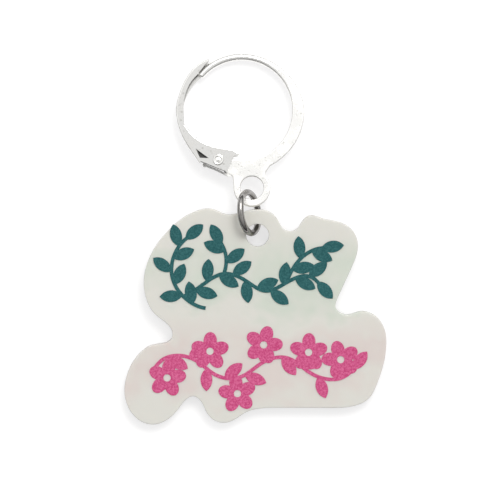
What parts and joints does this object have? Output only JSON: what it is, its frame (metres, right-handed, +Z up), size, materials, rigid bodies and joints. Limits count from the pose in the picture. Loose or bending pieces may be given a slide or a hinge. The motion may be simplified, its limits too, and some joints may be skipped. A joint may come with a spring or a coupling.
{
  "type": "stitch marker",
  "caption": "Lever-back hoop with a jump ring and a flat milky charm in a wavy outline, printed with a leafy vine above and a blossoming vine below.",
  "frame": {"origin": "on the table, under the middle of the marker's overall box", "axes": "+Z up from the table, +Y from the charm towards the hoop, +X to the right as seen from above"},
  "size_m": [0.0286, 0.0406, 0.0048],
  "materials": {
    "hoop_metal": "bright silver plating over brass",
    "lever_metal": "bright silver plating over brass",
    "rivet_metal": "bright silver plating over brass",
    "ring_metal": "polished steel",
    "charm_acrylic": "milky acrylic sheet, glossy faces",
    "teal_ink": "grainy printed ink",
    "pink_ink": "grainy printed ink"
  },
  "bodies": {
    "hoop": {"hoop_frame": "hoop_metal", "hinge_rivet": "rivet_metal"},
    "lever_arm": {"lever": "lever_metal"},
    "ring": {"jump_ring": "ring_metal"},
    "charm": {"charm_plate": "charm_acrylic", "teal_print": "teal_ink", "pink_print": "pink_ink"}
  },
  "joints": [
    {"name": "lever_pivot", "type": "hinge", "parent": "hoop", "child": "lever_arm", "pos_m": [-0.00406, 0.00852, 0.00148], "axis": [0, 0.0723, 0.9974], "range_deg": [0, 70]},
    {"name": "ring_swing", "type": "hinge", "parent": "hoop", "child": "ring", "pos_m": [-0.00038, 0.00383, 0.00182], "axis": [1, 0, 0], "range_deg": [-30, 90]},
    {"name": "charm_swing", "type": "hinge", "parent": "ring", "child": "charm", "pos_m": [-0.00065, 0.0028, 0.00239], "axis": [0.8996, 0.1105, 0.4226], "range_deg": [-45, 5]}
  ]
}
